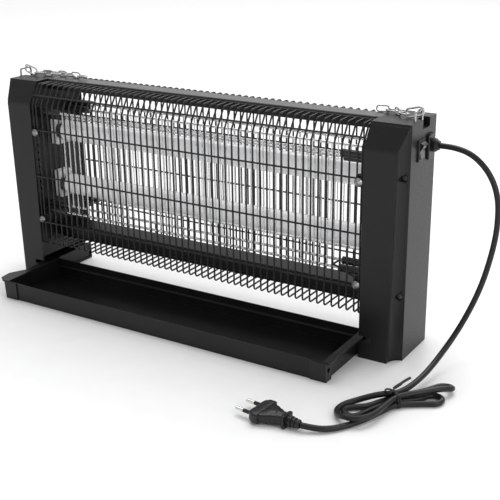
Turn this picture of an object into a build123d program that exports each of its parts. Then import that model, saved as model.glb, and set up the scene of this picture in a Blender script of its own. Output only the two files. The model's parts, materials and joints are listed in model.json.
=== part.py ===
from build123d import *
from math import atan2, cos, degrees, radians, sin, tan
import os

os.makedirs("parts", exist_ok=True)

# Electric insect killer on two end caps. Millimetres, +Z up, front toward -Y, origin on the floor
# at the middle of the body.

# ---- overall ----
half_length = 270.0
height = 256.0
cap_width = 44.5
cap_inner_x = half_length - cap_width
top_half_depth = 31.3
shoulder_half_depth = 47.3
shoulder_z = 231.0
foot_half_depth = 46.8
shoulder_radius = 11.0

# ---- end caps ----
wall = 2.2
fit_gap = 0.2
cover_thickness = 2.5
seam = 0.3
cove_width_foot = 11.5
cove_width_shoulder = 7.9
panel_x = 227.0
panel_thickness = 2.5
panel_bottom_z = 30.0
rail_top_z = 20.0
slot_outer_x = 239.5
slot_z = (19.8, 25.6)
cover_screw_x = 265.0
cover_screw_z = (74.0, 202.0)
notch_y = (-4.0, 14.0)
notch_x = 262.0
notch_floor_z = 246.5

# ---- middle ----
channel_half_depth = 9.8
channel_z = (243.0, 253.3)
strip_half_depth = 10.5
strip_thickness = 1.4
bar_half_depth = 14.0
bar_z = (54.5, 69.5)
bar_strip_half_depth = 11.0
bar_strip_z = 51.5
sheet = 1.0
tie_end_x = panel_x - fit_gap

# ---- guards ----
wire_radius = 1.0
guard_face_y = -44.5
guard_top_z = 252.5
guard_top_y = -31.0
guard_foot_z = 50.0
guard_pitch = 8.886
guard_half_span = 217.7
guard_end_x = 223.1
guard_bar_z = (80.0, 139.5, 199.0)
guard_slope_bar_z = 239.5
weld = 0.2
guard_end_rod_radius = 1.35
guard_screw_x = 220.4
guard_screw_z = (82.9, 195.1)

# ---- high-voltage grid ----
grid_y = -27.0
grid_wire_radius = 0.75
grid_pitch = 8.0
grid_half_span = 192.0
grid_rail_radius = 1.5
grid_rail_end_x = 200.0
live_rail_y = -31.0
live_rail_z = (92.0, 219.0)
earth_rail_y = -23.0
earth_rail_z = (98.0, 213.0)
insulator_radius = 4.25
insulator_x = 193.2

# ---- lamps ----
lamp_z = {"upper": 190.0, "lower": 120.0}
tube_radius = 13.0
tube_wall = 0.8
tube_half_length = 218.7
lamp_cap_length = 8.5
pin_radius = 1.175
pin_half_spacing = 6.35
holder_face_x = 219.5
holder_back_x = 236.5
holder_half_depth = 11.0
holder_half_height = 18.0
rotor_radius = 8.0

# ---- tray, drawn out ----
tray_half_length = 219.0
tray_back_y = -23.6
tray_foot_y = -116.6
tray_rim_y = -118.0
tray_rim_z = 23.0
tray_floor_z = 0.4
tray_sheet = 0.8
tray_bead_z = 12.4

# ---- switch and cord ----
switch_y = (-15.5, 0.0)
switch_z = 226.0
switch_half_height = 11.0
rocker_axis_x = 268.6
rocker_radius = 9.2
rocker_rest_angle = 12.0
cord_radius = 3.0
cord_y = 16.0
cord_z = 226.8
gland_end_x = 281.0

# ---- chains ----
staple_x = 266.0
staple_y = (-16.0, 2.0)
staple_top_z = 265.8
staple_radius = 1.3
ring_radius = 1.1
link_radius = 0.9
link_length = 15.0
link_width = 8.0
link_pitch = 10.6


def finish(piece, label):
    """Label a finished piece and write it."""
    piece.part.label = label
    export_step(piece.part, f"parts/{label}.step")


def block(x, y, z, mode=Mode.ADD):
    """Box from its limits along each axis."""
    size = (x[1] - x[0], y[1] - y[0], z[1] - z[0])
    middle = ((x[0] + x[1]) / 2, (y[0] + y[1]) / 2, (z[0] + z[1]) / 2)
    with Locations(middle):
        Box(*size, mode=mode)


def rod_x(radius, x, y, z, mode=Mode.ADD):
    """Cylinder along X between two x limits."""
    with Locations(Location(((x[0] + x[1]) / 2, y, z), (0, 90, 0))):
        Cylinder(radius, x[1] - x[0], mode=mode)


def rod_y(radius, x, y, z, mode=Mode.ADD):
    """Cylinder along Y between two y limits."""
    with Locations(Location((x, (y[0] + y[1]) / 2, z), (90, 0, 0))):
        Cylinder(radius, y[1] - y[0], mode=mode)


def rod_z(radius, x, y, z, mode=Mode.ADD):
    """Cylinder along Z between two z limits."""
    with Locations((x, y, (z[0] + z[1]) / 2)):
        Cylinder(radius, z[1] - z[0], mode=mode)


def flip(side):
    """Turn a piece made for the right end into its left-hand twin."""
    if side == "left":
        mirror(about=Plane.YZ, mode=Mode.REPLACE)


def flip_back(face):
    """Turn a piece made for the front into its rear twin."""
    if face == "rear":
        mirror(about=Plane.XZ, mode=Mode.REPLACE)


def heading(run):
    """Plan angle of a run from +X, in degrees."""
    return degrees(atan2(run.Y, run.X))


def round_rod(path, radius):
    """Solid round wire along a path."""
    with BuildPart() as rod:
        with BuildSketch(Plane(origin=path @ 0, z_dir=path % 0)):
            Circle(radius)
        sweep(path=path)
    return rod.part


# ---------------------------------------------------------------- end caps
def cove_section(z, width, depth_y, inset):
    """Plan of the hollow cut along the outer corner, at height z."""
    edge_y = -top_half_depth + inset
    edge_x = half_length - width - inset
    mid_x = half_length - (width + inset) * cos(radians(45))
    mid_y = depth_y + (edge_y - depth_y) * sin(radians(45))
    with BuildSketch(Plane.XY.offset(z)) as section:
        with BuildLine():
            ThreePointArc((edge_x, depth_y), (mid_x, mid_y), (half_length, edge_y))
            Polyline(
                (half_length, edge_y),
                (half_length + 9, edge_y),
                (half_length + 9, depth_y - 9),
                (edge_x, depth_y - 9),
                (edge_x, depth_y),
            )
        make_face()
    return section.sketch


def cove_cutter(inset):
    """Hollow at the front outer corner: full at the floor, dying out at the top edge."""
    floor_plan = cove_section(-1, cove_width_foot, -foot_half_depth, inset)
    shoulder_plan = cove_section(shoulder_z, cove_width_shoulder, -shoulder_half_depth, inset)
    top_plan = cove_section(height + 1, 0.1, -top_half_depth - 0.1, inset)
    with BuildPart() as cutter:
        loft([floor_plan, shoulder_plan], ruled=True)
        loft([shoulder_plan, top_plan], ruled=True)
    return cutter.part


def cap_block(inset, x_from, x_to):
    """The right cap's outer form between two x limits, drawn in by inset."""
    cutter = cove_cutter(inset)
    with BuildPart() as form:
        with BuildSketch(Plane.YZ.offset(x_from)):
            with BuildLine():
                Polyline(
                    (foot_half_depth, 0),
                    (shoulder_half_depth, shoulder_z),
                    (top_half_depth, height),
                    (-top_half_depth, height),
                    (-shoulder_half_depth, shoulder_z),
                    (-foot_half_depth, 0),
                    close=True,
                )
            make_face()
            if inset:
                offset(amount=-inset, kind=Kind.INTERSECTION, mode=Mode.REPLACE)
            shoulders = [v for v in vertices() if abs(v.Y - shoulder_z) < 8]
            fillet(shoulders, shoulder_radius - inset)
        extrude(amount=x_to - x_from)
        add(cutter, mode=Mode.SUBTRACT)
        mirror(cutter, about=Plane.XZ, mode=Mode.SUBTRACT)
    return form.part


cover_x = half_length - cover_thickness
cover_z = height - cover_thickness
cap_form = cap_block(0, cap_inner_x, half_length)
cap_cavity = cap_block(wall, cap_inner_x - 1, half_length + 1)
screw_sides = (-1, 1)


def cap_shell(side):
    """Tub of one cap: curved front and rear walls, cove strips and floor."""
    with BuildPart() as shell:
        add(cap_form)
        add(cap_cavity, mode=Mode.SUBTRACT)
        block((cap_inner_x, cover_x - 0.1), (-60, 60), (0, cover_z - seam), mode=Mode.INTERSECT)
        for y_sign in screw_sides:
            lug_y = sorted((y_sign * 28.0, y_sign * 34.6))
            for z in cover_screw_z:
                block((260.5, cover_x - 0.3), lug_y, (z - 5, z + 5))
                rod_y(3.6, cover_screw_x, sorted((y_sign * 31.0, y_sign * 50)), z, Mode.SUBTRACT)
                rod_y(1.6, cover_screw_x, sorted((y_sign * 27.0, y_sign * 32)), z, Mode.SUBTRACT)
            slot_y = sorted((y_sign * 43.0, y_sign * 50.0))
            block((cap_inner_x - 1, slot_outer_x), slot_y, slot_z, mode=Mode.SUBTRACT)
        flip(side)
    return shell


def side_cover(side):
    """L-shaped side and top cover with its chain notch, screw lugs and openings."""
    with BuildPart() as cover:
        add(cap_form)
        block((cap_inner_x - 1, cover_x), (-60, 60), (-1, cover_z), mode=Mode.SUBTRACT)
        block((notch_x - 1.5, cover_x + 1), (notch_y[0] - 1.5, notch_y[1] + 1.5),
              (notch_floor_z - 1.5, cover_z + 1))
        block((notch_x, half_length + 1), notch_y, (notch_floor_z, height + 1), mode=Mode.SUBTRACT)
        for y_sign in screw_sides:
            for z in cover_screw_z:
                block((261.5, cover_x + 1), sorted((y_sign * 17.0, y_sign * 27.5)), (z - 5, z + 5))
                rod_y(1.5, cover_screw_x, sorted((y_sign * 16.0, y_sign * 28.0)), z, Mode.SUBTRACT)
        rod_z(staple_radius, staple_x, staple_y[0], (245, height + 1), mode=Mode.SUBTRACT)
        rod_z(staple_radius, staple_x, staple_y[1], (240, height + 1), mode=Mode.SUBTRACT)
        if side == "right":
            block((cover_x - 1, half_length + 1), (switch_y[0] + 1.1, switch_y[1] - 1.1),
                  (switch_z - 10.4, switch_z + 10.4), mode=Mode.SUBTRACT)
            rod_x(5.5, (cover_x - 1, half_length + 1), cord_y, cord_z, mode=Mode.SUBTRACT)
        flip(side)
    return cover


panel_form = cap_block(wall + fit_gap, panel_x, panel_x + panel_thickness)
panel_faces_x = (panel_x - 1, panel_x + panel_thickness + 1)


def inner_panel(side):
    """Panel closing the cap toward the lamps, with vents and openings."""
    with BuildPart() as panel:
        add(panel_form)
        block(panel_faces_x, (-60, 60), (panel_bottom_z, cover_z - seam), mode=Mode.INTERSECT)
        for z in lamp_z.values():
            block(panel_faces_x, (-holder_half_depth - 0.1, holder_half_depth + 0.1),
                  (z - holder_half_height - 0.1, z + holder_half_height + 0.1), mode=Mode.SUBTRACT)
        block(panel_faces_x, (-8.0, 2.0), (244.5, 252.0), mode=Mode.SUBTRACT)
        rod_x(1.5, panel_faces_x, channel_screw[0], channel_screw[1], mode=Mode.SUBTRACT)
        rod_x(1.5, panel_faces_x, 0, bar_screw_z, mode=Mode.SUBTRACT)
        for row in range(8):
            rod_x(2.0, panel_faces_x, -37, 111 + 9.4 * row, mode=Mode.SUBTRACT)
            rod_x(2.0, panel_faces_x, 37, 111 + 9.4 * row, mode=Mode.SUBTRACT)
        rod_x(4.0, panel_faces_x, -16, 80, mode=Mode.SUBTRACT)
        with Locations(Location((panel_x + panel_thickness / 2, 21.5, 60.5), (0, 90, 0))):
            with HexLocations(3.2, 3, 3):
                Cylinder(1.8, panel_thickness + 2, mode=Mode.SUBTRACT)
        flip(side)
    return panel


channel_screw = (6.3, 248.5)
bar_screw_z = 62.0
for side in ("left", "right"):
    finish(cap_shell(side), f"{side}_cap_shell")
    finish(side_cover(side), f"{side}_side_cover")
    finish(inner_panel(side), f"{side}_inner_panel")

rail_form = cap_block(wall, panel_x, slot_outer_x)
with BuildPart() as tray_rails:
    add(rail_form)
    block((panel_x - 1, slot_outer_x + 1), (-60, 60), (0, rail_top_z), mode=Mode.INTERSECT)
    block((panel_x + 2.2, slot_outer_x + 1), (-60, 60), (0, rail_top_z - 2), mode=Mode.SUBTRACT)
    mirror(about=Plane.YZ)
finish(tray_rails, "tray_rails")

with BuildPart() as cover_screws:
    for y_sign in screw_sides:
        for z in cover_screw_z:
            rod_y(2.4, cover_screw_x, sorted((y_sign * 31.05, y_sign * 33.2)), z)
            rod_y(1.5, cover_screw_x, sorted((y_sign * 18.0, y_sign * 31.1)), z)
            cross_y = sorted((y_sign * 32.2, y_sign * 33.3))
            block((cover_screw_x - 1.6, cover_screw_x + 1.6), cross_y, (z - 0.4, z + 0.4), Mode.SUBTRACT)
            block((cover_screw_x - 0.4, cover_screw_x + 0.4), cross_y, (z - 1.6, z + 1.6), Mode.SUBTRACT)
    mirror(about=Plane.YZ)
finish(cover_screws, "cover_screws")

# ---------------------------------------------------------------- channel and bar
end_block_x = (tie_end_x - 7, tie_end_x)
with BuildPart() as top_channel:
    block((-tie_end_x, tie_end_x), (-channel_half_depth, channel_half_depth), channel_z)
    block((-230, 230), (-channel_half_depth + sheet, channel_half_depth - sheet),
          (channel_z[0] + sheet, channel_z[1] + 1), mode=Mode.SUBTRACT)
    for x in (end_block_x, (-end_block_x[1], -end_block_x[0])):
        block(x, (3.4, channel_half_depth - sheet / 2), (channel_z[0] + sheet / 2, 252.5))
        rod_x(1.5, (x[0] - 1, x[1] + 1), channel_screw[0], channel_screw[1], mode=Mode.SUBTRACT)
finish(top_channel, "top_channel")

with BuildPart() as top_strip:
    strip_x = (-cap_inner_x + fit_gap, cap_inner_x - fit_gap)
    block(strip_x, (-strip_half_depth, strip_half_depth), (height - strip_thickness, height))
    fillet(edges().filter_by(Axis.X).group_by(Axis.Z)[-1], 0.6)
    block(strip_x, (-channel_half_depth + 1, channel_half_depth - 1),
          (channel_z[1], height - strip_thickness))
finish(top_strip, "top_strip")

with BuildPart() as bottom_bar:
    block((-tie_end_x, tie_end_x), (-bar_half_depth, bar_half_depth), bar_z)
    fillet(edges().filter_by(Axis.X), 1.5)
    block((-230, 230), (-bar_half_depth + sheet, bar_half_depth - sheet),
          (bar_z[0] + sheet, bar_z[1] - sheet), mode=Mode.SUBTRACT)
    for x in (end_block_x, (-end_block_x[1], -end_block_x[0])):
        block(x, (-6, 6), (bar_z[0] + sheet / 2, bar_z[1] - sheet / 2))
        rod_x(1.5, (x[0] - 1, x[1] + 1), 0, bar_screw_z, mode=Mode.SUBTRACT)
    block((-tie_end_x, tie_end_x), (-bar_strip_half_depth, bar_strip_half_depth),
          (bar_strip_z, bar_z[0] + sheet / 2))
finish(bottom_bar, "bottom_bar")

with BuildPart() as channel_screws:
    head_x = panel_x + panel_thickness
    for y, z in (channel_screw, (0, bar_screw_z)):
        rod_x(1.5, (end_block_x[0] + 1, head_x + 0.5), y, z)
        rod_x(2.9, (head_x, head_x + 2), y, z)
    mirror(about=Plane.YZ)
finish(channel_screws, "channel_screws")

# ---------------------------------------------------------------- guards
wire_count = round(2 * guard_half_span / guard_pitch) + 1
guard_xs = [-guard_half_span + guard_pitch * i for i in range(wire_count)]
guard_xs = [-guard_end_x] + guard_xs + [guard_end_x]

top_end = Vector(0, -11.5, guard_top_z)
top_bend = Vector(0, guard_top_y, guard_top_z)
shoulder = Vector(0, guard_face_y, shoulder_z)
foot_bend = Vector(0, guard_face_y, guard_foot_z)
foot_end = Vector(0, -8.0, guard_foot_z)
bend_radius = {"top": 5.0, "shoulder": 8.0, "foot": 4.0}


def bend_reach(before, corner, after, radius):
    """Distance from a corner at which its bend begins, with a short straight added."""
    turn = (corner - before).get_angle(after - corner)
    return radius * tan(radians(turn / 2)) + 1.0


def toward(start, end, distance):
    """Point on the way from start to end."""
    return start + (end - start).normalized() * distance


slope_start = toward(top_bend, top_end,
                     bend_reach(top_end, top_bend, shoulder, bend_radius["top"]))
face_top = toward(shoulder, foot_bend,
                  bend_reach(top_bend, shoulder, foot_bend, bend_radius["shoulder"]))
face_bottom = toward(foot_bend, shoulder,
                     bend_reach(shoulder, foot_bend, foot_end, bend_radius["foot"]))

slope_path = FilletPolyline(slope_start, top_bend, shoulder, face_top,
                            radius=[bend_radius["top"], bend_radius["shoulder"]])
foot_path = FilletPolyline(face_bottom, foot_bend, foot_end, radius=[bend_radius["foot"]])
guard_wires = {
    "top": round_rod(Line(top_end, slope_start), wire_radius),
    "slope": round_rod(slope_path, wire_radius),
    "face": round_rod(Line(face_top, face_bottom), wire_radius),
    "foot": round_rod(foot_path, wire_radius),
}
slope_dir = (top_bend - shoulder).normalized()
slope_out = Vector(0, -slope_dir.Z, slope_dir.Y)
slope_bar = shoulder + slope_dir * ((guard_slope_bar_z - shoulder_z) / slope_dir.Z)
slope_bar = slope_bar + slope_out * (2 * wire_radius - weld)
face_bar_y = guard_face_y - 2 * wire_radius + weld
guard_bars = {
    "top": [(guard_end_rod_radius, top_end.Y, top_end.Z)],
    "slope": [(wire_radius, slope_bar.Y, slope_bar.Z)],
    "face": [(wire_radius, face_bar_y, z) for z in guard_bar_z],
    "foot": [(guard_end_rod_radius, foot_end.Y, foot_end.Z)],
}
guard_bar_end = guard_end_x + 1.5 * wire_radius

for face in ("front", "rear"):
    for zone, wire in guard_wires.items():
        with BuildPart() as guard:
            for radius, y, z in guard_bars[zone]:
                rod_x(radius, (-guard_bar_end, guard_bar_end), y, z)
            with Locations(*[(x, 0, 0) for x in guard_xs]):
                add(wire)
            flip_back(face)
        finish(guard, f"{face}_guard_{zone}")

guard_screw_places = [(x, z) for x in (-guard_screw_x, guard_screw_x) for z in guard_screw_z]
washer_y = face_bar_y - wire_radius - 0.05
with BuildPart() as guard_screws:
    for x, z in guard_screw_places:
        rod_y(1.4, x, (washer_y - 2.2, -38.0), z)
        with Locations(Location((x, washer_y - 2.3, z), (90, 0, 0))):
            Cone(2.9, 1.6, 1.4)
        block((x - 1.8, x + 1.8), (washer_y - 3.2, washer_y - 2.3), (z - 0.4, z + 0.4), Mode.SUBTRACT)
        block((x - 0.4, x + 0.4), (washer_y - 3.2, washer_y - 2.3), (z - 1.8, z + 1.8), Mode.SUBTRACT)
    mirror(about=Plane.XZ)
finish(guard_screws, "guard_screws")

with BuildPart() as cup_washers:
    for x, z in guard_screw_places:
        with Locations(Location((x, washer_y - 0.8, z), (90, 0, 0))):
            Cone(4.5, 3.2, 1.6)
        rod_y(1.42, x, (washer_y - 3, washer_y + 1), z, mode=Mode.SUBTRACT)
    mirror(about=Plane.XZ)
finish(cup_washers, "cup_washers")

with BuildPart() as guard_posts:
    for x, z in guard_screw_places:
        post_x = sorted((x / guard_screw_x * 216.0, x / guard_screw_x * panel_x))
        block(post_x, (-43.4, -36.0), (z - 6, z + 6))
        rod_y(1.42, x, (-44, -37.9), z, mode=Mode.SUBTRACT)
    mirror(about=Plane.XZ)
finish(guard_posts, "guard_posts")

# ---------------------------------------------------------------- high-voltage grid
def grid_comb(rail_y, rail_z, first_x, count):
    """Front comb: two rails and the wires hooked over them."""
    low, high = rail_z
    hook = FilletPolyline((0, rail_y, high), (0, grid_y, high), (0, grid_y, low), (0, rail_y, low),
                          radius=[1.5, 1.5])
    wire = round_rod(hook, grid_wire_radius)
    with BuildPart() as comb:
        for z in rail_z:
            rod_x(grid_rail_radius, (-grid_rail_end_x, grid_rail_end_x), rail_y, z)
        with Locations(*[(first_x + 2 * grid_pitch * i, 0, 0) for i in range(count)]):
            add(wire)
    return comb


live_count = round(grid_half_span / grid_pitch) + 1
grid_sets = {
    "live": grid_comb(live_rail_y, live_rail_z, -grid_half_span, live_count),
    "earth": grid_comb(earth_rail_y, earth_rail_z, grid_pitch - grid_half_span, live_count - 1),
}
for name, comb in grid_sets.items():
    finish(comb, f"front_{name}_grid")
    with BuildPart() as rear_comb:
        mirror(comb.part, about=Plane.XZ)
    finish(rear_comb, f"rear_{name}_grid")

with BuildPart() as grid_insulators:
    places = [(live_rail_y, z) for z in live_rail_z] + [(earth_rail_y, z) for z in earth_rail_z]
    for y, z in places:
        rod_x(insulator_radius, (insulator_x, panel_x), y, z)
        rod_x(grid_rail_radius, (insulator_x - 1, grid_rail_end_x), y, z, mode=Mode.SUBTRACT)
    mirror(about=Plane.XZ)
    mirror(about=Plane.YZ)
finish(grid_insulators, "grid_insulators")

# ---------------------------------------------------------------- lamps
glass_end_x = tube_half_length - lamp_cap_length
for name, z in lamp_z.items():
    with BuildPart() as tube_glass:
        rod_x(tube_radius, (-glass_end_x, glass_end_x), 0, z)
        rod_x(tube_radius - tube_wall, (-glass_end_x, glass_end_x), 0, z, mode=Mode.SUBTRACT)
    finish(tube_glass, f"{name}_tube_glass")

    with BuildPart() as tube_ends:
        rod_x(tube_radius, (glass_end_x, tube_half_length), 0, z)
        chamfer(edges().group_by(Axis.X)[-1], 0.8)
        for pin_z in (z - pin_half_spacing, z + pin_half_spacing):
            rod_x(pin_radius, (tube_half_length - 1, tube_half_length + 7), 0, pin_z)
        mirror(about=Plane.YZ)
    finish(tube_ends, f"{name}_tube_ends")

    with BuildPart() as rotors:
        rod_x(rotor_radius, (holder_face_x + 0.6, 226.6), 0, z)
        for pin_z in (z - pin_half_spacing, z + pin_half_spacing):
            rod_x(pin_radius, (tube_half_length - 1, 230), 0, pin_z, mode=Mode.SUBTRACT)
        mirror(about=Plane.YZ)
    finish(rotors, f"{name}_rotors")

with BuildPart() as lamp_holders:
    for z in lamp_z.values():
        block((holder_face_x, holder_back_x), (-holder_half_depth, holder_half_depth),
              (z - holder_half_height, z + holder_half_height))
    fillet(edges().filter_by(Axis.X), 4.0)
    for z in lamp_z.values():
        rod_x(rotor_radius + 0.15, (holder_face_x - 1, 227.2), 0, z, mode=Mode.SUBTRACT)
        block((holder_face_x - 1, 227.2), (-20, 0), (z - 1.7, z + 1.7), mode=Mode.SUBTRACT)
    mirror(about=Plane.YZ)
finish(lamp_holders, "lamp_holders")

# ---------------------------------------------------------------- electrics in the caps
with BuildPart() as ballasts:
    for z in (88.0, 188.0):
        block((-263.0, -241.0), (-16.5, 16.5), (z - 42, z + 42))
        for end_z in (z - 45, z + 45):
            block((-241.0, -panel_x - panel_thickness), (11.5, 16.5), (end_z - 4, end_z + 4))
            block((-241.0, -panel_x - panel_thickness), (-16.5, -11.5), (end_z - 4, end_z + 4))
            block((-244.0, -241.0), (-16.5, 16.5), (end_z - 4, end_z + 4))
finish(ballasts, "ballasts")

module_x = (241.0, 262.0)
with BuildPart() as hv_module:
    block(module_x, (-16.5, 16.5), (42, 104))
    fillet(edges().filter_by(Axis.X), 3)
    for y in (-8, 8):
        for z in (48, 97):
            rod_x(3.0, (panel_x + panel_thickness, module_x[0] + 1), y, z)
finish(hv_module, "hv_module")

starter_places = ((25.0, 100.0), (25.0, 155.0))
socket_x = (panel_x + panel_thickness, 238.5)
with BuildPart() as starter_sockets:
    for y, z in starter_places:
        block(socket_x, (y - 8.2, y + 11), (z - 11, z + 11))
    fillet(edges().filter_by(Axis.X), 3)
finish(starter_sockets, "starter_sockets")

with BuildPart() as starters:
    for y, z in starter_places:
        rod_x(8.3, (socket_x[1], 258.0), y, z)
    fillet(edges().group_by(Axis.X)[-1], 2)
finish(starters, "starters")

with BuildPart() as terminal_block:
    block((panel_x + panel_thickness, 243.0), (-41, -23), (182, 232))
    for row in range(4):
        z = 189 + 12 * row
        for y in (-36.5, -27.5):
            rod_x(1.8, (236, 244), y, z, mode=Mode.SUBTRACT)
finish(terminal_block, "terminal_block")

with BuildPart() as cord_clamp:
    block((248.0, 257.0), (7, 25), (217, 236))
    block((panel_x + panel_thickness, 257.0), (7, 25), (213, 217))
    rod_x(cord_radius, (247, 258), cord_y, cord_z, mode=Mode.SUBTRACT)
finish(cord_clamp, "cord_clamp")

loom_path = FilletPolyline((-237, -3, 238), (-237, -3, 248), (237, -3, 248), (237, -3, 238), radius=5)
with BuildPart() as wiring_loom:
    add(round_rod(loom_path, 2.2))
finish(wiring_loom, "wiring_loom")

earth_path = FilletPolyline((188, -24.6, 96.3), (188, -36.8, 96.8), (198, -38.6, 95.4), (215.8, -40, 88.6),
                            radius=[2.5, 6])
with BuildPart() as earth_lead:
    add(round_rod(earth_path, 1.15))
finish(earth_lead, "earth_lead")

# ---------------------------------------------------------------- switch
switch_side_y = (switch_y[0] + 1.2, switch_y[1] - 1.2)
pocket_y = (switch_y[0] + 2.3, switch_y[1] - 2.3)
with BuildPart() as switch_body:
    block((half_length, half_length + 2), switch_y,
          (switch_z - switch_half_height, switch_z + switch_half_height))
    chamfer(edges().group_by(Axis.X)[-1], 0.8)
    block((251.0, half_length + 0.5), switch_side_y, (switch_z - 10.3, switch_z + 10.3))
    block((257.0, half_length + 3), pocket_y, (switch_z - 8.6, switch_z + 8.6), mode=Mode.SUBTRACT)
    rod_y(rocker_radius + 0.2, rocker_axis_x, pocket_y, switch_z, mode=Mode.SUBTRACT)
    rod_y(1.55, rocker_axis_x, switch_side_y, switch_z, mode=Mode.SUBTRACT)
finish(switch_body, "switch_body")

with BuildPart() as switch_terminals:
    for z in (switch_z - 6, switch_z, switch_z + 6):
        block((243.0, 251.0), (-10.2, -5.2), (z - 0.4, z + 0.4))
finish(switch_terminals, "switch_terminals")


def rocker_point(dx, dz):
    """Point given from the rocker's axis, turned to its rest position."""
    turn = radians(rocker_rest_angle)
    return (rocker_axis_x + dx * cos(turn) + dz * sin(turn), switch_z + dz * cos(turn) - dx * sin(turn))


rocker_y = (pocket_y[0] + 0.25, pocket_y[1] - 0.25)
with BuildPart() as switch_rocker:
    with BuildSketch(Plane.XZ.offset(-rocker_y[0])):
        with BuildLine():
            Polyline(rocker_point(5.9, 7.05), rocker_point(3.4, 0), rocker_point(5.9, -7.05))
            ThreePointArc(rocker_point(5.9, -7.05), rocker_point(3.3, -8.58), rocker_point(0.5, -9.18))
            Polyline(rocker_point(0.5, -9.18), rocker_point(-3, -6), rocker_point(-3, 6),
                     rocker_point(0.5, 9.18))
            ThreePointArc(rocker_point(0.5, 9.18), rocker_point(3.3, 8.58), rocker_point(5.9, 7.05))
        make_face()
    extrude(amount=rocker_y[0] - rocker_y[1])
    rod_y(1.5, rocker_axis_x, (rocker_y[0] - 1.2, rocker_y[1] + 1.2), switch_z)
finish(switch_rocker, "switch_rocker")

# ---------------------------------------------------------------- cord inlet
with BuildPart() as cord_plate:
    block((half_length, half_length + 3), (cord_y - 8, cord_y + 8), (211.5, 239.0))
    fillet(edges().filter_by(Axis.X), 4)
    chamfer(edges().group_by(Axis.X)[-1], 1.0)
    rod_x(5.5, (half_length - 1, half_length + 4), cord_y, cord_z, mode=Mode.SUBTRACT)
finish(cord_plate, "cord_plate")

with BuildPart() as cord_gland:
    rod_x(5.4, (260.0, half_length + 3), cord_y, cord_z)
    rod_x(7.0, (half_length + 3, half_length + 7.5), cord_y, cord_z)
    with Locations(Location((half_length + 9.25, cord_y, cord_z), (0, 90, 0))):
        Cone(6.4, 4.7, 3.5)
    rod_x(8.0, (264.0, cover_x), cord_y, cord_z)
    rod_x(cord_radius + 0.05, (250.0, gland_end_x + 1), cord_y, cord_z, mode=Mode.SUBTRACT)
finish(cord_gland, "cord_gland")

# ---------------------------------------------------------------- cord
lead_route = [
    (264.0, 16.0, 226.8), (282.0, 16.0, 226.8), (298.5, 16.0, 226.5), (315.0, 15.5, 222.5),
    (330.0, 15.0, 211.5), (341.0, 14.0, 196.5), (347.0, 13.0, 179.0), (348.5, 12.0, 160.0),
    (348.0, 10.8, 141.0), (344.8, 8.5, 117.0), (339.5, 4.5, 90.0), (331.0, -1.5, 62.5),
    (321.0, -12.5, 36.5), (314.0, -36.0, 19.5), (311.0, -65.0, 11.5), (308.0, -93.0, 9.0),
    (304.5, -116.0, 9.0),
]
tail_route = [
    (296.0, -155.0, 3.2), (290.5, -172.0, 3.2), (283.0, -187.0, 3.2), (273.5, -200.0, 3.4),
    (261.5, -209.5, 4.6), (247.5, -214.0, 6.6),
]


def cord_tube(route, label):
    """Round cord of straight runs and tangent arcs as large as the runs allow."""
    points = [Vector(*p) for p in route]
    radii = []
    for before, corner, after in zip(points, points[1:], points[2:]):
        turn = (corner - before).get_angle(after - corner)
        shorter = min((corner - before).length, (after - corner).length)
        radii.append(0.45 * shorter / tan(radians(turn / 2)))
    path = FilletPolyline(*points, radius=radii)
    tube = round_rod(path, cord_radius)
    section = 3.14159265 * cord_radius ** 2
    print(label, "radii", [round(r) for r in radii], "length", round(path.length, 1),
          "volume ratio", round(tube.volume / (section * path.length), 5))
    return tube


lead_tube = cord_tube(lead_route, "lead")
tail_tube = cord_tube(tail_route, "tail")
with BuildPart() as power_cord_lead:
    add(lead_tube)
finish(power_cord_lead, "power_cord_lead")
with BuildPart() as power_cord_tail:
    add(tail_tube)
finish(power_cord_tail, "power_cord_tail")

# The hank lies on the floor, tied at its middle; its own axes run along and across it.
hank_middle = (302.0, -124.0)
hank_angle = 50.0
hank_plane = Plane(origin=(*hank_middle, 0), x_dir=(cos(radians(hank_angle)), sin(radians(hank_angle)), 0))
hank_height = 14.0
hank_outline = [
    (-64, 0), (-50, 15), (-28, 16), (0, 11), (26, 18), (46, 18), (64, 6), (60, -10), (40, -19),
    (18, -15), (0, -11), (-24, -20), (-46, -29), (-61, -20),
]
tie_section_plane = Plane(origin=(*hank_middle, 7.2), x_dir=hank_plane.y_dir, z_dir=hank_plane.x_dir)
tie_half_width = 11.6
tie_half_height = 6.0
tie_radius = 0.9
tie_tail = round_rod(Line((300.5, -114.5, 13.2), (300.0, -81.0, 10.0)), 1.2)
with BuildPart() as twist_tie:
    with BuildSketch(tie_section_plane):
        RectangleRounded(2 * (tie_half_width + tie_radius), 2 * (tie_half_height + tie_radius), 5.5)
        RectangleRounded(2 * (tie_half_width - tie_radius), 2 * (tie_half_height - tie_radius), 4.2,
                         mode=Mode.SUBTRACT)
    extrude(amount=tie_radius, both=True)
    add(tie_tail)
finish(twist_tie, "twist_tie")


def floor_slot(start, end, width, z):
    """Cut a straight slot between two plan points, from z[0] up to z[1]."""
    run = Vector(*end) - Vector(*start)
    middle = Vector(*start) + run * 0.5
    with Locations(Location((middle.X, middle.Y, (z[0] + z[1]) / 2), (0, 0, heading(run)))):
        Box(run.length, width, z[1] - z[0], mode=Mode.SUBTRACT)


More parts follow.
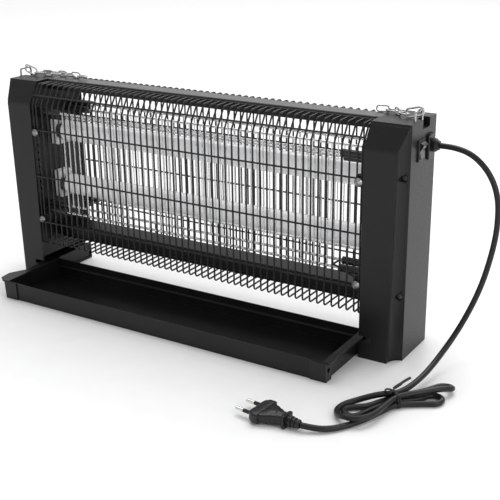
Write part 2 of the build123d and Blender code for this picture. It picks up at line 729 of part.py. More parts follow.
with BuildPart() as cord_hank:
    with BuildSketch(hank_plane.offset(0.2)):
        with BuildLine():
            Polyline(*hank_outline, close=True)
        make_face()
        fillet(vertices(), 5.0)
    extrude(amount=hank_height)
    floor_slot((315.0, -50.0), (308.0, -93.0), 7.6, (5.6, 20.0))
    floor_slot((308.2, -91.0), (304.2, -118.0), 7.6, (5.6, 20.0))
    floor_slot((300.5, -118.0), (300.0, -78.0), 3.2, (8.4, 20.0))
    floor_slot((297.0, -152.0), (290.2, -173.0), 7.6, (-1.0, 6.6))
    floor_slot((290.9, -171.0), (279.0, -195.0), 7.6, (-1.0, 6.6))
    with Locations(Location((*hank_middle, 7.2), (0, 0, hank_angle))):
        Box(2 * tie_radius + 0.6, 60, 30, mode=Mode.SUBTRACT)
    with BuildSketch(tie_section_plane):
        RectangleRounded(2 * (tie_half_width - tie_radius - 0.1), 2 * (tie_half_height - tie_radius - 0.1), 4.1)
    extrude(amount=tie_radius + 0.5, both=True)
finish(cord_hank, "cord_hank")

# ---------------------------------------------------------------- plug
relief_end = Vector(*tail_route[-1])
plug_dir = Vector(-0.996, 0.0885, 0)
plug_plane = Plane(origin=(relief_end.X, relief_end.Y, 7.0), z_dir=plug_dir, x_dir=(0.0885, 0.996, 0))
relief_length = 14.0
body_length = 36.0
pin_length = 19.0
plug_pin_spacing = 18.0
plug_pin_radius = 2.0


def plug_section(distance, width, thickness, corner):
    """Rounded section across the plug, at a distance along it."""
    with BuildSketch(plug_plane.offset(distance)) as section:
        RectangleRounded(width, thickness, corner)
    return section.sketch


face_at = relief_length + body_length
pin_offsets = (-plug_pin_spacing / 2, plug_pin_spacing / 2)
with BuildPart() as plug_body:
    loft([plug_section(face_at - 10, 35, 13.6, 5.5), plug_section(face_at, 30, 12.0, 5.0)], ruled=True)
    loft([plug_section(relief_length + 4, 13, 12.5, 3.0), plug_section(face_at - 24, 22, 13.0, 4.5),
          plug_section(face_at - 10, 35, 13.6, 5.5)], ruled=True)
    with BuildSketch(plug_plane.offset(relief_length)):
        RectangleRounded(14.5, 13.6, 2.0)
    extrude(amount=4.2)
    with BuildSketch(plug_plane):
        Circle(3.7)
    extrude(amount=relief_length + 1)
    for start in (1.0, 5.0, 9.0):
        with BuildSketch(plug_plane.offset(start)):
            Circle(4.6 + start * 0.12)
        extrude(amount=2.6)
    with BuildSketch(plug_plane.offset(face_at - 0.5)):
        with Locations(*[(t, 0) for t in pin_offsets]):
            Circle(plug_pin_radius)
    extrude(amount=pin_length / 2 + 0.5)
    add(tail_tube, mode=Mode.SUBTRACT)
finish(plug_body, "plug_body")

with BuildPart() as plug_pins:
    with BuildSketch(plug_plane.offset(face_at + pin_length / 2)):
        with Locations(*[(t, 0) for t in pin_offsets]):
            Circle(plug_pin_radius)
    extrude(amount=pin_length / 2)
    fillet(edges().group_by(Axis.X)[0], 1.2)
finish(plug_pins, "plug_pins")

# ---------------------------------------------------------------- tray
with BuildPart() as tray_pan:
    with BuildSketch(Plane.YZ.offset(-tray_half_length)):
        with BuildLine():
            Polyline(
                (tray_rim_y, tray_rim_z),
                (tray_foot_y, tray_floor_z),
                (tray_back_y, tray_floor_z),
                (tray_back_y, tray_rim_z - 0.4),
                (tray_back_y - tray_sheet, tray_rim_z - 0.4),
                (tray_back_y - tray_sheet, tray_bead_z + 1.6),
                (tray_back_y - 2.6, tray_bead_z),
                (tray_back_y - 2.6, tray_bead_z - tray_sheet),
                (tray_back_y - tray_sheet, tray_bead_z - 1.6),
                (tray_back_y - tray_sheet, tray_floor_z + tray_sheet),
                (tray_foot_y + tray_sheet, tray_floor_z + tray_sheet),
                (tray_rim_y + tray_sheet, tray_rim_z),
                close=True,
            )
        make_face()
    extrude(amount=2 * tray_half_length)
finish(tray_pan, "tray_pan")

flange_z = (21.0, 23.0)
flange_inner_x = tray_half_length + 0.1
right_flange = [(flange_inner_x, -117.6), (228.0, -117.6), (227.6, -106.0), (225.4, -93.6), (227.8, -81.0),
                (229.4, -44.0), (229.4, tray_back_y), (flange_inner_x, tray_back_y)]
left_flange = [(flange_inner_x, -117.6), (228.0, -117.6), (236.0, -112.0), (238.0, -96.5), (232.0, -84.0),
               (228.2, -78.0), (229.4, -44.0), (229.4, tray_back_y), (flange_inner_x, tray_back_y)]


def tray_end(side, flange):
    """Moulded end of the tray: wall, front wrap and the flange that rides on the rails."""
    with BuildPart() as end:
        block((flange_inner_x, 221.4), (-117.0, tray_back_y), (tray_floor_z, flange_z[0] + 0.5))
        with BuildSketch(Plane.XY.offset(flange_z[0])):
            with BuildLine():
                Polyline(*flange, close=True)
            make_face()
        extrude(amount=flange_z[1] - flange_z[0])
        with BuildSketch(Plane.YZ.offset(205.0)):
            with BuildLine():
                Polyline((-119.2, 22.4), (-117.8, 0.3), (-116.7, 0.3), (-118.1, 22.4), close=True)
            make_face()
        extrude(amount=19.0)
        block((flange_inner_x, 224.0), (-117.4, -106.0), (0.3, 22.4))
        if side == "right":
            rod_x(3.0, (218, 226), -112.5, 12.5, mode=Mode.SUBTRACT)
        flip(side)
    return end


finish(tray_end("left", left_flange), "left_tray_end")
finish(tray_end("right", right_flange), "right_tray_end")

# ---------------------------------------------------------------- staples and chains
def stadium(length, width, radius):
    """Closed link in the XY plane, long along X."""
    run = (length - width) / 2
    bend = width / 2 - radius
    with BuildLine() as loop:
        Line((-run, -bend), (run, -bend))
        ThreePointArc((run, -bend), (run + bend, 0), (run, bend))
        Line((run, bend), (-run, bend))
        ThreePointArc((-run, bend), (-run - bend, 0), (-run, -bend))
    return round_rod(loop.wires()[0], radius)


def along(points, distance):
    """Point at a distance along a polyline of plan points."""
    for start, end in zip(points, points[1:]):
        length = (end - start).length
        if distance <= length:
            return start + (end - start) * (distance / length)
        distance -= length
    return points[-1]


link = stadium(link_length, link_width, link_radius)
ring = stadium(22.0, 11.0, ring_radius)
ring_place = Location((260.1, -3.6, 263.0), (0, -14, 0)) * Location((0, 0, 0), (90, 0, 0))
first_link_rise = 1.0
flat_z = 259.25
standing_z = height + link_width / 2 + 0.1
chain_paths = {
    "left": [(-251.8, -3.6), (-238.0, 2.0), (-222.0, 6.0), (-170.0, 7.0)],
    "right": [(251.8, -3.6), (242.6, 1.0), (234.0, 8.5), (223.0, 11.5), (203.0, 6.0)],
}
chain_counts = {"left": 7, "right": 4}


def chain_places(points, count):
    """Places of the links along a plan path, lying and standing by turns."""
    route = [Vector(*p) for p in points]
    joints = [along(route, link_pitch * i) for i in range(count + 1)]
    places = []
    for i, (start, end) in enumerate(zip(joints, joints[1:])):
        middle = (start + end) * 0.5
        standing = i % 2 == 1
        z = standing_z if standing else flat_z + (first_link_rise if i == 0 else 0)
        roll = 90 if standing else 0
        place = Location((middle.X, middle.Y, z), (0, 0, heading(end - start)))
        places.append(place * Location((0, 0, 0), (roll, 0, 0)))
    return places


staple_path = FilletPolyline((staple_x, staple_y[0], 250.0), (staple_x, staple_y[0], staple_top_z),
                             (staple_x, staple_y[1], staple_top_z), (staple_x, staple_y[1], 243.0),
                             radius=[4, 4])
staple_wire = round_rod(staple_path, staple_radius)

with BuildPart() as chain_staples:
    add(staple_wire)
    mirror(about=Plane.YZ)
finish(chain_staples, "chain_staples")

for side in ("left", "right"):
    with BuildPart() as chain:
        with Locations(ring_place):
            add(ring)
        flip(side)
        with Locations(*chain_places(chain_paths[side], chain_counts[side])):
            add(link)
    finish(chain, f"{side}_chain")
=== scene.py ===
import bpy
import bmesh
import json
from math import cos, pi, radians, sin
from mathutils import Matrix, Vector


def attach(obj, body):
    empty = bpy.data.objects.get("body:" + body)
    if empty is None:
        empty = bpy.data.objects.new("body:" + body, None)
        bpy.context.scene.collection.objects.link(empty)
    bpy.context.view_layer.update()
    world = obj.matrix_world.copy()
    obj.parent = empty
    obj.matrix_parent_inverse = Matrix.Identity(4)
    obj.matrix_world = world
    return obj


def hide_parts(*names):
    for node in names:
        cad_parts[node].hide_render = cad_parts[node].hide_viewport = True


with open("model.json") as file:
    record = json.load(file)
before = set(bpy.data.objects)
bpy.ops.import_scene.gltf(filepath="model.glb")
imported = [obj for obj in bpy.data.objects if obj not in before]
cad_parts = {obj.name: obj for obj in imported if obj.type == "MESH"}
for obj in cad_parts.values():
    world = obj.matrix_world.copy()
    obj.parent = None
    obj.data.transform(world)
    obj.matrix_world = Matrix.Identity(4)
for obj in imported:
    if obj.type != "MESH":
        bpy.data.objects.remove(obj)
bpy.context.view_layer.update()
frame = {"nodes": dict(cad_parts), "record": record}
nodes = frame["nodes"]

# ------------------------------------------------------------------ camera
camera_place = Vector((0.6396, -0.9247, 0.4795))
camera_axes = ((0.8499, 0.5267, -0.0123), (-0.1723, 0.2998, 0.9383), (0.4979, -0.7954, 0.3456))
camera_data = bpy.data.cameras.new("camera")
camera_data.lens = 71.48
camera_data.sensor_width = 36.0
camera_data.clip_start = 0.05
camera = bpy.data.objects.new("camera", camera_data)
turn = Matrix([Vector(axis).normalized() for axis in camera_axes]).transposed()
camera.matrix_world = Matrix.Translation(camera_place) @ turn.to_quaternion().to_matrix().to_4x4()
bpy.context.scene.collection.objects.link(camera)
bpy.context.scene.camera = camera


# ------------------------------------------------------------------ materials
def ramp(tree, source, stops):
    """Map a grey value to colours or levels through a colour ramp."""
    node = tree.nodes.new("ShaderNodeValToRGB")
    elements = node.color_ramp.elements
    while len(elements) < len(stops):
        elements.new(0.5)
    for element, (place, value) in zip(elements, stops):
        element.position = place
        rgb = value if isinstance(value, tuple) else (value, value, value)
        element.color = (*rgb, 1.0)
    tree.links.new(source, node.inputs["Fac"])
    return node.outputs["Color"]


def noise(tree, coords, scale, detail=3.0, stretch=None):
    """Noise at a scale per metre, drawn out along an axis when asked."""
    if stretch is not None:
        mapping = tree.nodes.new("ShaderNodeMapping")
        mapping.inputs["Scale"].default_value = stretch
        tree.links.new(coords, mapping.inputs["Vector"])
        coords = mapping.outputs["Vector"]
    node = tree.nodes.new("ShaderNodeTexNoise")
    node.inputs["Scale"].default_value = scale
    node.inputs["Detail"].default_value = detail
    tree.links.new(coords, node.inputs["Vector"])
    return node.outputs["Fac"]


def blend_color(tree, factor, first, second):
    """Mix two colours by a factor; each is a tuple or a socket."""
    node = tree.nodes.new("ShaderNodeMix")
    node.data_type = "RGBA"
    tree.links.new(factor, node.inputs["Factor"])
    for value, socket in ((first, node.inputs[6]), (second, node.inputs[7])):
        if isinstance(value, tuple):
            socket.default_value = (*value, 1.0)
        else:
            tree.links.new(value, socket)
    return node.outputs[2]


def shade(color, gain):
    """Colour made lighter or darker by a gain."""
    return tuple(min(1.0, c * gain) for c in color)


def surface(name, color, rough, metal=0.0, grain=1500.0, depth=0.00006, mottle=0.25, spread=0.08,
            wear=None, edge_radius=None, dust=None, stretch=None, coat=0.0, gloss=0.5, painted_glow=0.0):
    """Moulded, coated or drawn surface: fine grain, mottling, worn edges and settled dust, with an
    optional painted glow that lightens parts which are no lamps.
    """
    mat = bpy.data.materials.new(name)
    mat.use_nodes = True
    tree = mat.node_tree
    shader = tree.nodes["Principled BSDF"]
    coords = tree.nodes.new("ShaderNodeTexCoord").outputs["Object"]
    cloud = noise(tree, coords, 38.0, 4.0)
    base = ramp(tree, cloud, [(0.3, shade(color, 1 - mottle)), (0.7, shade(color, 1 + mottle))])
    soft = None
    if edge_radius is not None:
        soft = tree.nodes.new("ShaderNodeBevel")
        soft.samples = 4
        soft.inputs["Radius"].default_value = edge_radius
        facing = tree.nodes.new("ShaderNodeVectorMath")
        facing.operation = "DOT_PRODUCT"
        tree.links.new(soft.outputs["Normal"], facing.inputs[0])
        tree.links.new(tree.nodes.new("ShaderNodeNewGeometry").outputs["Normal"], facing.inputs[1])
        worn = ramp(tree, facing.outputs["Value"], [(0.8, 0.5), (0.97, 0.0)])
        base = blend_color(tree, worn, base, wear)
    if dust is not None:
        normal = tree.nodes.new("ShaderNodeNewGeometry").outputs["Normal"]
        split = tree.nodes.new("ShaderNodeSeparateXYZ")
        tree.links.new(normal, split.inputs["Vector"])
        settle = tree.nodes.new("ShaderNodeMath")
        settle.operation = "MULTIPLY"
        tree.links.new(ramp(tree, split.outputs["Z"], [(0.6, 0.0), (1.0, 0.1)]), settle.inputs[0])
        tree.links.new(noise(tree, coords, 160.0, 5.0), settle.inputs[1])
        base = blend_color(tree, settle.outputs["Value"], base, dust)
    tree.links.new(base, shader.inputs["Base Color"])
    fine = noise(tree, coords, 420.0, 4.0, stretch)
    rough_levels = [(0.25, max(0.03, rough - spread)), (0.75, min(1.0, rough + spread))]
    tree.links.new(ramp(tree, fine, rough_levels), shader.inputs["Roughness"])
    shader.inputs["Metallic"].default_value = metal
    shader.inputs["Coat Weight"].default_value = coat
    shader.inputs["Coat Roughness"].default_value = 0.08
    shader.inputs["Specular IOR Level"].default_value = gloss
    # painted glow: emission in the surface's own colour lightens parts that are no lamps
    shader.inputs["Emission Color"].default_value = (*color, 1.0)
    shader.inputs["Emission Strength"].default_value = painted_glow
    bump = tree.nodes.new("ShaderNodeBump")
    bump.inputs["Strength"].default_value = 0.5
    bump.inputs["Distance"].default_value = depth
    tree.links.new(noise(tree, coords, grain, 2.0, stretch), bump.inputs["Height"])
    if soft is not None:
        tree.links.new(soft.outputs["Normal"], bump.inputs["Normal"])
    tree.links.new(bump.outputs["Normal"], shader.inputs["Normal"])
    return mat


black_dust = (0.16, 0.155, 0.15)
worn_black = (0.07, 0.07, 0.072)
drawn_along_x = (0.06, 1.0, 1.0)
drawn_along_z = (1.0, 1.0, 0.06)
finishes = {
    "cap_plastic": surface("cap_plastic", (0.0072, 0.0073, 0.0079), 0.36, grain=2300.0,
                           depth=0.00006, mottle=0.12, spread=0.05, edge_radius=0.0006,
                           wear=worn_black, dust=black_dust, gloss=0.3),
    "panel_plastic": surface("panel_plastic", (0.0075, 0.0075, 0.008), 0.48, grain=1900.0,
                             depth=0.00007, edge_radius=0.0004, wear=worn_black, gloss=0.3),
    "tray_plastic": surface("tray_plastic", (0.0072, 0.0072, 0.0078), 0.36, grain=2100.0,
                            depth=0.00006, edge_radius=0.0005, wear=worn_black, gloss=0.34),
    "black_sheet": surface("black_sheet", (0.0072, 0.0072, 0.0078), 0.36, grain=1300.0,
                           depth=0.00004, edge_radius=0.0004, wear=(0.05, 0.05, 0.05), gloss=0.3),
    "grey_sheet": surface("grey_sheet", (0.085, 0.086, 0.088), 0.3, grain=1600.0, depth=0.00003,
                          mottle=0.1, edge_radius=0.0004, wear=(0.3, 0.3, 0.3),
                          stretch=drawn_along_x),
    "guard_coating": surface("guard_coating", (0.0075, 0.0075, 0.008), 0.3, grain=1500.0,
                             depth=0.00006, gloss=0.36),
    "bright_steel": surface("bright_steel", (0.74, 0.745, 0.75), 0.17, metal=1.0, grain=2600.0,
                            depth=0.00002, mottle=0.06, spread=0.06, stretch=drawn_along_z),
    "dark_steel": surface("dark_steel", (0.16, 0.16, 0.165), 0.32, metal=0.95, grain=1800.0,
                          depth=0.00003),
    "insulator_plastic": surface("insulator_plastic", (0.02, 0.02, 0.021), 0.3, grain=1500.0,
                                 depth=0.00005),
    # lamp_glass: painted glow brightens the tubes, which are switched off
    "lamp_glass": surface("lamp_glass", (0.88, 0.885, 0.89), 0.18, grain=120.0, depth=0.00003,
                          mottle=0.02, spread=0.04, coat=1.0, painted_glow=0.16),
    "lamp_cap_metal": surface("lamp_cap_metal", (0.68, 0.69, 0.7), 0.28, metal=1.0, grain=1400.0,
                              depth=0.00003, mottle=0.08, edge_radius=0.0003,
                              wear=(0.85, 0.85, 0.85)),
    # white_plastic: a faint painted glow lightens the white parts
    "white_plastic": surface("white_plastic", (0.8, 0.8, 0.79), 0.36, grain=1800.0,
                             depth=0.00004, mottle=0.03, edge_radius=0.0004,
                             wear=(0.86, 0.86, 0.84), painted_glow=0.05),
    "laminated_steel": surface("laminated_steel", (0.2, 0.2, 0.21), 0.42, metal=0.8, grain=1800.0,
                               depth=0.0002, stretch=(1.0, 1.0, 0.02), edge_radius=0.0004,
                               wear=(0.4, 0.4, 0.4)),
    "potting": surface("potting", (0.02, 0.02, 0.024), 0.3, grain=700.0, depth=0.0001),
    "black_plastic": surface("black_plastic", (0.0075, 0.0075, 0.008), 0.33, grain=2000.0,
                             depth=0.00005, edge_radius=0.0004, wear=worn_black, gloss=0.4),
    "rocker_plastic": surface("rocker_plastic", (0.013, 0.013, 0.014), 0.2, grain=900.0,
                              depth=0.00002, edge_radius=0.0004, wear=worn_black, coat=0.3),
    "plated_brass": surface("plated_brass", (0.76, 0.745, 0.7), 0.2, metal=1.0, grain=1600.0,
                            depth=0.00002, mottle=0.08),
    "cord_rubber": surface("cord_rubber", (0.0075, 0.0075, 0.0078), 0.38, grain=1700.0,
                           depth=0.00007, mottle=0.2, dust=(0.08, 0.08, 0.08), gloss=0.36),
    "wire_sleeve": surface("wire_sleeve", (0.009, 0.009, 0.0095), 0.36, grain=1500.0,
                           depth=0.00005, gloss=0.36),
}

washer_finish = surface("washer_finish", (0.3, 0.3, 0.305), 0.33, metal=1.0, grain=2400.0,
                        depth=0.00003, mottle=0.2)
chain_finish = surface("chain_finish", (0.5, 0.505, 0.51), 0.2, metal=1.0, grain=2200.0,
                       depth=0.00003, mottle=0.25)
node_slots = {part["node"]: part["material_slot"] for part in frame["record"]["subparts"]}
for node_name, node in nodes.items():
    finish = finishes[node_slots[node_name]]
    if node_name in ("guard_screws", "cup_washers"):
        finish = washer_finish
    if node_name in ("left_chain", "right_chain", "chain_staples"):
        finish = chain_finish
    for holder in node.material_slots:
        holder.material = finish
    if not node.material_slots:
        node.data.materials.append(finish)


# ------------------------------------------------------------------ making pieces
def place(obj, slot, body="base"):
    """Give a piece its finish and its body."""
    obj.data.materials.append(finishes[slot])
    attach(obj, body)
    return obj


def curve_object(name, radius, resolution=8):
    """Empty round-wire curve object."""
    data = bpy.data.curves.new(name, "CURVE")
    data.dimensions = "3D"
    data.bevel_depth = radius
    data.bevel_resolution = resolution
    data.use_fill_caps = True
    data.resolution_u = 8
    obj = bpy.data.objects.new(name, data)
    bpy.context.scene.collection.objects.link(obj)
    return obj


def nurbs(obj, points, cyclic=False):
    """Add one smooth spline through the pull of its control points."""
    spline = obj.data.splines.new("NURBS")
    spline.points.add(len(points) - 1)
    for control, point in zip(spline.points, points):
        control.co = (*point, 1.0)
    spline.use_cyclic_u = cyclic
    spline.order_u = 3
    spline.use_endpoint_u = not cyclic


def loft(name, rings, sharp=38.0):
    """Closed skin over rings of points, each with the same count."""
    mesh = bmesh.new()
    layers = [[mesh.verts.new(point) for point in ring] for ring in rings]
    count = len(rings[0])
    for low, high in zip(layers, layers[1:]):
        for k in range(count):
            mesh.faces.new((low[k], low[(k + 1) % count], high[(k + 1) % count], high[k]))
    mesh.faces.new(list(reversed(layers[0])))
    mesh.faces.new(layers[-1])
    bmesh.ops.recalc_face_normals(mesh, faces=mesh.faces)
    data = bpy.data.meshes.new(name)
    mesh.to_mesh(data)
    mesh.free()
    data.shade_smooth()
    data.set_sharp_from_angle(angle=radians(sharp))
    obj = bpy.data.objects.new(name, data)
    bpy.context.scene.collection.objects.link(obj)
    return obj


# ------------------------------------------------------------------ cord
cord_radius = 0.003
hank_middle = Vector((0.302, -0.124, 0.0))
hank_heading = radians(50)
hank_along = Vector((cos(hank_heading), sin(hank_heading), 0.0))
hank_across = Vector((-sin(hank_heading), cos(hank_heading), 0.0))
cord_exit = (0.264, 0.016, 0.2268)

lead_points = [
    cord_exit, (0.282, 0.016, 0.2268), (0.2985, 0.016, 0.2265),
    (0.315, 0.0155, 0.2225), (0.330, 0.015, 0.2115), (0.341, 0.014, 0.1965),
    (0.347, 0.013, 0.179), (0.3485, 0.012, 0.160), (0.348, 0.0108, 0.141),
    (0.3448, 0.0085, 0.117), (0.3395, 0.0045, 0.090), (0.331, -0.0015, 0.0625),
    (0.321, -0.0125, 0.0365), (0.314, -0.036, 0.0195), (0.311, -0.065, 0.0115),
    (0.308, -0.093, 0.0094),
]
# Along the hank, across it and above the floor, in the order that the cord runs.
hank_points = [
    (0.0085, 0.0046, 0.0104), (0.0, 0.0044, 0.0106), (-0.010, 0.0070, 0.0106),
    (-0.023, 0.0105, 0.0080), (-0.035, 0.0140, 0.0042), (-0.047, 0.0135, 0.0031),
    (-0.0580, 0.0065, 0.0031), (-0.0625, -0.0050, 0.0042), (-0.0620, -0.0170, 0.0086),
    (-0.055, -0.0265, 0.0098), (-0.043, -0.0280, 0.0096), (-0.030, -0.0230, 0.0096),
    (-0.015, -0.0120, 0.0100), (0.0, -0.0033, 0.0106), (0.014, -0.0020, 0.0106),
    (0.030, -0.0020, 0.0100), (0.045, -0.0020, 0.0100), (0.056, -0.0020, 0.0092),
    (0.0645, -0.0002, 0.0064), (0.0668, 0.0085, 0.0038), (0.0595, 0.0155, 0.0031),
    (0.047, 0.0125, 0.0031), (0.033, 0.0098, 0.0031), (0.012, 0.0080, 0.0034),
    (0.0, 0.0062, 0.0043), (-0.013, 0.0046, 0.0036), (-0.028, 0.0015, 0.0031),
    (-0.040, 0.0038, 0.0031), (-0.0495, 0.0058, 0.0031), (-0.0552, -0.0035, 0.0031),
    (-0.0495, -0.0128, 0.0031), (-0.040, -0.0108, 0.0031), (-0.028, -0.0058, 0.0031),
    (-0.013, -0.0020, 0.0036), (0.0, 0.0, 0.0043), (0.013, -0.0016, 0.0036),
    (0.028, -0.0026, 0.0031), (0.037, 0.0006, 0.0031), (0.0460, -0.0014, 0.0031),
    (0.0480, -0.0115, 0.0031), (0.0385, -0.0174, 0.0031), (0.028, -0.0132, 0.0031),
    (0.014, -0.0090, 0.0034), (0.0, -0.0062, 0.0043), (-0.013, -0.0095, 0.0034),
    (-0.0276, -0.0155, 0.0031), (-0.0442, -0.0215, 0.0031), (-0.0605, -0.0255, 0.0031),
]
tail_points = [(0.2735, -0.200, 0.0034), (0.2615, -0.2095, 0.0046), (0.2475, -0.214, 0.0066)]


def on_hank(along, across, rise):
    """Row-frame point from the hank's own axes."""
    return hank_middle + along * hank_along + across * hank_across + Vector((0, 0, rise))


route = lead_points + [tuple(on_hank(*point)) for point in hank_points] + tail_points
cord = curve_object("power_cord", cord_radius)
cord.data.resolution_u = 12
nurbs(cord, route)
place(cord, "cord_rubber")
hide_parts("power_cord_lead", "cord_hank", "power_cord_tail")

# ------------------------------------------------------------------ tie
tie_wire_radius = 0.0009
tie_tail_radius = 0.0014
ring_step = 0.0018  # between the tie's two turns round the hank
tie = curve_object("twist_tie_wire", tie_wire_radius, 5)
ring_profile = [(-0.0100, 0.0022), (-0.0075, 0.0009), (0.0, 0.0008), (0.0082, 0.0009),
                (0.0104, 0.0030), (0.0100, 0.0070), (0.0083, 0.0118), (0.0045, 0.0139),
                (-0.0020, 0.0137), (-0.0072, 0.0125), (-0.0098, 0.0080)]
nurbs(tie, [on_hank(0.0, across, rise) for across, rise in ring_profile], cyclic=True)
nurbs(tie, [on_hank(ring_step, across, rise) for across, rise in ring_profile], cyclic=True)
tie_start = Vector((0.2985, -0.1165, 0.0146))
tie_end = Vector((0.300, -0.081, 0.0098))
nurbs(tie, [on_hank(0.001, -0.002, 0.0137), on_hank(0.000, 0.003, 0.0150),
            on_hank(-0.004, 0.008, 0.0150), on_hank(-0.008, 0.006, 0.0143),
            on_hank(-0.006, 0.000, 0.0141), on_hank(-0.001, 0.001, 0.0147), tie_start])
axis = (tie_end - tie_start).normalized()
side = axis.cross(Vector((0, 0, 1))).normalized()
up = side.cross(axis)
twist_steps = 64
twist_turns = 2.5
twist_radius = 0.0008
twisted_share = 0.4  # of the way from the hank to the tie's end
for phase in (0.0, pi):
    twisted = []
    for k in range(twist_steps + 1):
        angle = phase + 2 * pi * twist_turns * k / twist_steps
        offset = twist_radius * (cos(angle) * side + sin(angle) * up)
        reach = twisted_share * k / twist_steps
        twisted.append(tie_start + (tie_end - tie_start) * reach + offset)
    nurbs(tie, twisted)
place(tie, "wire_sleeve")
tie_tail = curve_object("twist_tie_tail", tie_tail_radius, 6)
tail_from = tie_start + (tie_end - tie_start) * 0.28
tail_bow = 0.0004 * up
nurbs(tie_tail, [tail_from, tail_from + (tie_end - tail_from) * 0.3 + tail_bow,
                 tail_from + (tie_end - tail_from) * 0.7 + tail_bow, tie_end])
place(tie_tail, "wire_sleeve")
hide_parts("twist_tie")
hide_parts("twist_tie")

# ------------------------------------------------------------------ plug
plug_origin = Vector((0.2475, -0.214, 0.007))
plug_ahead = Vector((-0.996, 0.0885, 0.0)).normalized()
plug_across = Vector((0.0885, 0.996, 0.0)).normalized()
plug_sides = 96
millimetre = 0.001
pad_start, pad_end = 20.0, 37.0  # mm along the plug, the raised finger pads
pad_rise = 1.2
pad_groove = (25.6, 27.4)
pad_groove_depth = 0.7
pad_share = 0.62  # of the half width
parting_depth, parting_half_gap = 0.22, 0.12
relief_end = 14.0
housing_half_height = 6.8


def level(stops, distance):
    """Value between listed stops, joined smoothly."""
    for (s0, v0), (s1, v1) in zip(stops, stops[1:]):
        if distance <= s1:
            t = max(0.0, (distance - s0) / (s1 - s0))
            return v0 + (v1 - v0) * t * t * (3 - 2 * t)
    return stops[-1][1]


def plug_ring(distance, half_width, half_height, square):
    """Outline across the plug: a rounded box with its parting line let in."""
    ring = []
    pad = 0.0
    if pad_start < distance < pad_end:
        pad = pad_rise * sin(pi * (distance - pad_start) / (pad_end - pad_start)) ** 0.6
        if pad_groove[0] < distance < pad_groove[1]:
            pad -= pad_groove_depth
    for k in range(plug_sides):
        angle = 2 * pi * k / plug_sides
        c, s = cos(angle), sin(angle)
        bulge = (abs(c) ** square + abs(s) ** square) ** (-1.0 / square)
        x, y = half_width * bulge * c, half_height * bulge * s
        if abs(y) < parting_half_gap and distance > relief_end:
            x -= parting_depth * (1 if x > 0 else -1)
        if abs(x) < pad_share * half_width:
            y += pad * (1 if y > 0 else -1) * cos(pi * x / (2 * pad_share * half_width))
        y = max(-housing_half_height, min(housing_half_height, y))
        offset = distance * plug_ahead + x * plug_across + Vector((0, 0, y))
        ring.append(plug_origin + offset * millimetre)
    return ring


width_stops = [(18.2, 6.2), (21.0, 6.6), (27.0, 9.4), (33.0, 12.6), (38.5, 14.8)]
depth_stops = [(18.2, 5.6), (24.0, 5.5), (32.0, 5.4), (38.5, 5.0)]
plug_rings = []
relief = [(0.0, 3.4), (0.9, 3.5), (1.0, 4.3), (1.4, 4.6), (3.2, 4.7), (3.6, 4.4), (3.7, 3.7),
          (4.9, 3.8), (5.0, 4.8), (5.4, 5.1), (7.2, 5.2), (7.6, 4.9), (7.7, 4.0), (8.9, 4.1),
          (9.0, 5.3), (9.4, 5.6), (11.2, 5.7), (11.6, 5.4), (11.7, 4.5), (13.9, 4.7)]
for distance, radius in relief:
    plug_rings.append(plug_ring(distance, radius, radius, 2.0))
collar = ((14.0, 7.4, 6.4), (14.3, 8.2, 6.8), (16.2, 8.2, 6.8), (17.9, 6.6, 6.0))
for distance, width, depth in collar:
    plug_rings.append(plug_ring(distance, width, depth, 7.0))
for k in range(40):
    distance = 18.2 + 0.5 * k
    width, depth = level(width_stops, distance), level(depth_stops, distance)
    plug_rings.append(plug_ring(distance, width, depth, 4.5))
front_block = ((38.2, 14.6, 4.9), (38.5, 16.9, 5.7), (38.8, 17.3, 5.9), (42.0, 17.4, 5.9),
               (45.6, 17.2, 5.8), (49.0, 14.4, 5.2), (49.7, 13.8, 4.9), (50.0, 13.0, 4.4))
for distance, width, depth in front_block:
    plug_rings.append(plug_ring(distance, width, depth, 6.0))
plug = loft("plug_housing", plug_rings, 50.0)
place(plug, "black_plastic")
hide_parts("plug_body")

pin_offset = 9.0
sleeve_sides = 32
sleeve_profile = ((49.6, 2.35), (50.3, 2.35), (50.5, 2.0), (51.0, 1.95), (58.9, 1.95),
                  (59.3, 1.9), (59.5, 1.75))
for label, offset in (("near", -pin_offset), ("far", pin_offset)):
    sleeve_rings = []
    for distance, radius in sleeve_profile:
        centre = plug_origin + (distance * plug_ahead + offset * plug_across) * millimetre
        ring = []
        for k in range(sleeve_sides):
            angle = 2 * pi * k / sleeve_sides
            spoke = cos(angle) * plug_across + sin(angle) * Vector((0, 0, 1))
            ring.append(centre + radius * millimetre * spoke)
        sleeve_rings.append(ring)
    sleeve = loft(f"pin_sleeve_{label}", sleeve_rings)
    place(sleeve, "wire_sleeve")
    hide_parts("plug_body")

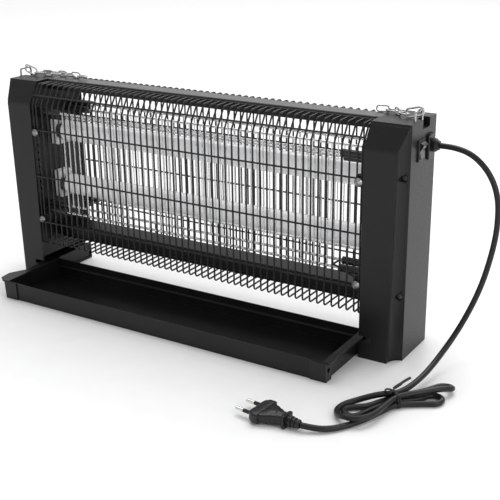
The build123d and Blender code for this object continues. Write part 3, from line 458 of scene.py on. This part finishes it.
# ------------------------------------------------------------------ floor and light
floor_reach = 40.0
floor_mesh = bmesh.new()
bmesh.ops.create_grid(floor_mesh, x_segments=8, y_segments=8, size=floor_reach)
floor_data = bpy.data.meshes.new("floor")
floor_mesh.to_mesh(floor_data)
floor_mesh.free()
floor = bpy.data.objects.new("floor", floor_data)
bpy.context.scene.collection.objects.link(floor)
floor_finish = surface("floor_finish", (0.9, 0.9, 0.897), 0.7, grain=180.0, depth=0.00002,
                       mottle=0.012, spread=0.03)
floor.data.materials.append(floor_finish)

world = bpy.data.worlds.new("studio")
world.use_nodes = True
sky = world.node_tree.nodes["Background"]
sky_place = world.node_tree.nodes.new("ShaderNodeTexCoord")
sky_axes = world.node_tree.nodes.new("ShaderNodeSeparateXYZ")
sky_ramp = world.node_tree.nodes.new("ShaderNodeValToRGB")
sky_ramp.color_ramp.elements[0].color = (1.42, 1.42, 1.42, 1.0)
sky_ramp.color_ramp.elements[1].position = 0.45
sky_ramp.color_ramp.elements[1].color = (0.86, 0.865, 0.875, 1.0)
world.node_tree.links.new(sky_place.outputs["Generated"], sky_axes.inputs["Vector"])
world.node_tree.links.new(sky_axes.outputs["Z"], sky_ramp.inputs["Fac"])
world.node_tree.links.new(sky_ramp.outputs["Color"], sky.inputs["Color"])
sky.inputs["Strength"].default_value = 0.62
bpy.context.scene.world = world
bpy.context.scene.view_settings.view_transform = "Standard"


def soft_light(name, place_at, target, size, power):
    """Square softbox aimed at a point."""
    data = bpy.data.lights.new(name, "AREA")
    data.shape = "SQUARE"
    data.size = size
    data.energy = power
    obj = bpy.data.objects.new(name, data)
    obj.location = place_at
    obj.rotation_euler = (Vector(target) - Vector(place_at)).to_track_quat("-Z", "Y").to_euler()
    bpy.context.scene.collection.objects.link(obj)


soft_light("side", (1.9, -0.5, 1.0), (0.2, 0.0, 0.12), 0.8, 8.0)
soft_light("back", (0.1, 1.8, 2.0), (0.0, 0.2, 0.1), 1.6, 20.0)
key_data = bpy.data.lights.new("key", "SUN")
key_data.energy = 1.6
key_data.angle = radians(60)
key = bpy.data.objects.new("key", key_data)
key.rotation_euler = Vector((0.3, -0.5, -1.2)).to_track_quat("-Z", "Y").to_euler()
bpy.context.scene.collection.objects.link(key)
